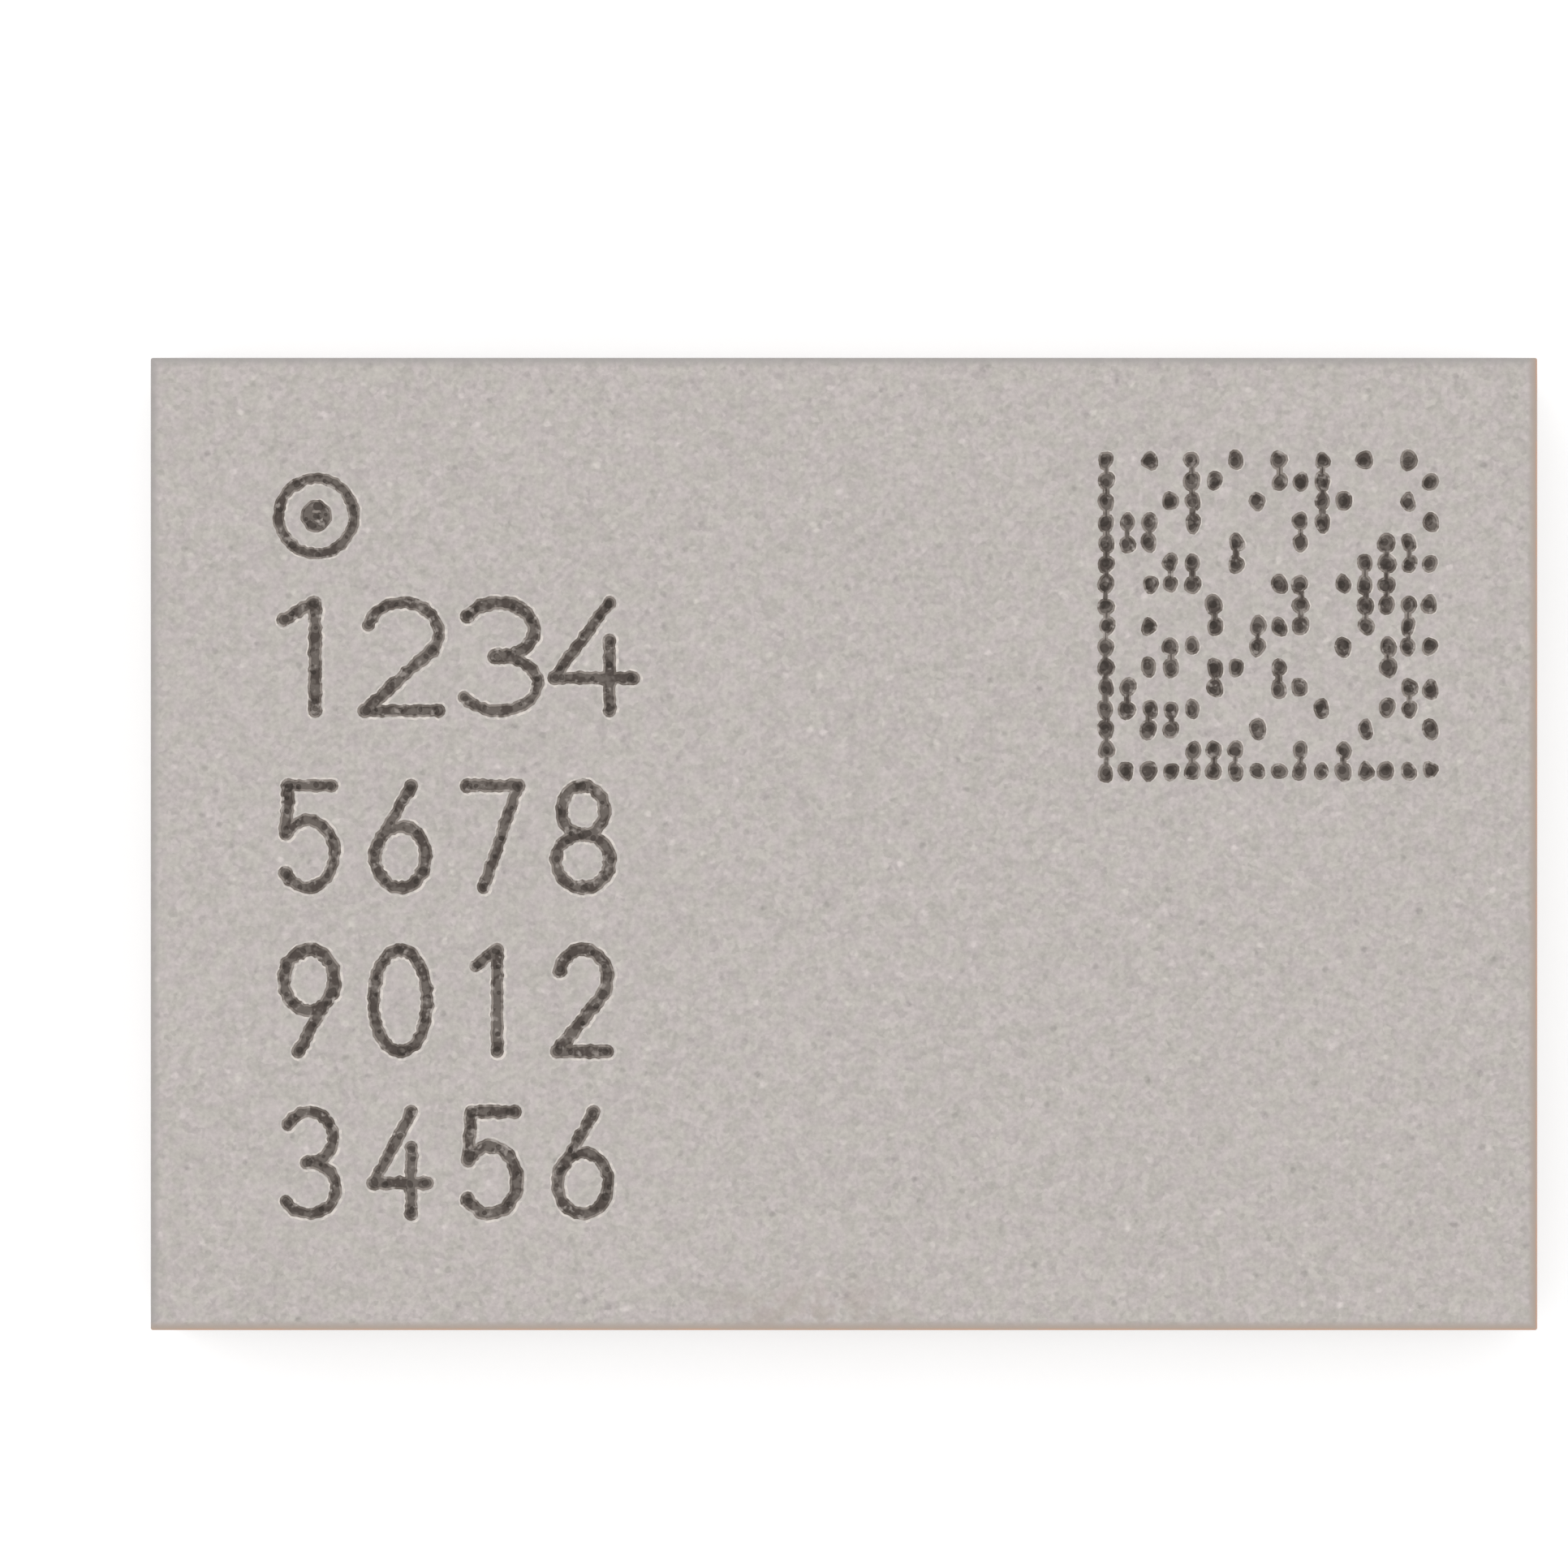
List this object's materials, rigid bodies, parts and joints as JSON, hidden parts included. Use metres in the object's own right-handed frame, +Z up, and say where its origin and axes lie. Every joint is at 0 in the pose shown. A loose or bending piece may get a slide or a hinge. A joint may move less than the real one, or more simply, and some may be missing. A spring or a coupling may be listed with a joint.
{
  "type": "ball grid array chip",
  "caption": "Flat rectangular moulded electronics module with a metal-film shield on top and a peripheral array of recessed solder balls underneath.",
  "frame": {"origin": "middle of the seating plane, which the tips of the solder balls touch", "axes": "+X along the long side, from the side of ball column 1 to that of column 15; +Y towards ball row A, on the side of the corner mark; +Z up through the top face"},
  "size_m": [0.0076, 0.0054, 0.0011],
  "materials": {
    "shield_film": "matte sputtered stainless film over copper, very finely grained, not brushed",
    "mould_compound": "filled black epoxy moulding compound, ground flat and slightly mottled",
    "laminate_resin": "glass-reinforced organic laminate",
    "copper": "plated copper",
    "solder": "bright reflowed tin-silver-copper solder",
    "tin_plating": "matte tin plating",
    "silicon": "polished semiconductor die",
    "filter_crystal": "piezoelectric filter die",
    "capacitor_ceramic": "fired capacitor ceramic",
    "inductor_ceramic": "fired inductor ceramic"
  },
  "bodies": {
    "root": {"shield": "shield_film", "upper_mould": "mould_compound", "laminate": "laminate_resin", "ground_plane": "copper", "ball_lands": "copper", "lower_mould": "mould_compound", "balls_row_a": "solder", "balls_row_b": "solder", "balls_row_c": "solder", "balls_row_d": "solder", "balls_row_e": "solder", "balls_row_f": "solder", "balls_row_g": "solder", "balls_row_h": "solder", "balls_row_j": "solder", "balls_row_k": "solder", "amplifier_die": "silicon", "amplifier_pillars": "copper", "controller_die": "silicon", "controller_pillars": "copper", "filter_die_1": "filter_crystal", "filter_die_2": "filter_crystal", "filter_die_3": "filter_crystal", "filter_die_4": "filter_crystal", "filter_die_5": "filter_crystal", "filter_die_6": "filter_crystal", "filter_bumps_1": "solder", "filter_bumps_2": "solder", "filter_bumps_3": "solder", "filter_bumps_4": "solder", "filter_bumps_5": "solder", "filter_bumps_6": "solder", "capacitor_bodies": "capacitor_ceramic", "capacitor_ends": "tin_plating", "inductor_bodies": "inductor_ceramic", "inductor_ends": "tin_plating", "decoupler_bodies": "capacitor_ceramic", "decoupler_ends": "tin_plating", "solder_joints": "solder", "component_lands": "copper", "switch_die": "silicon", "switch_pillars": "copper", "receiver_die": "silicon", "receiver_pillars": "copper", "lower_lands": "copper"}
  },
  "joints": []
}
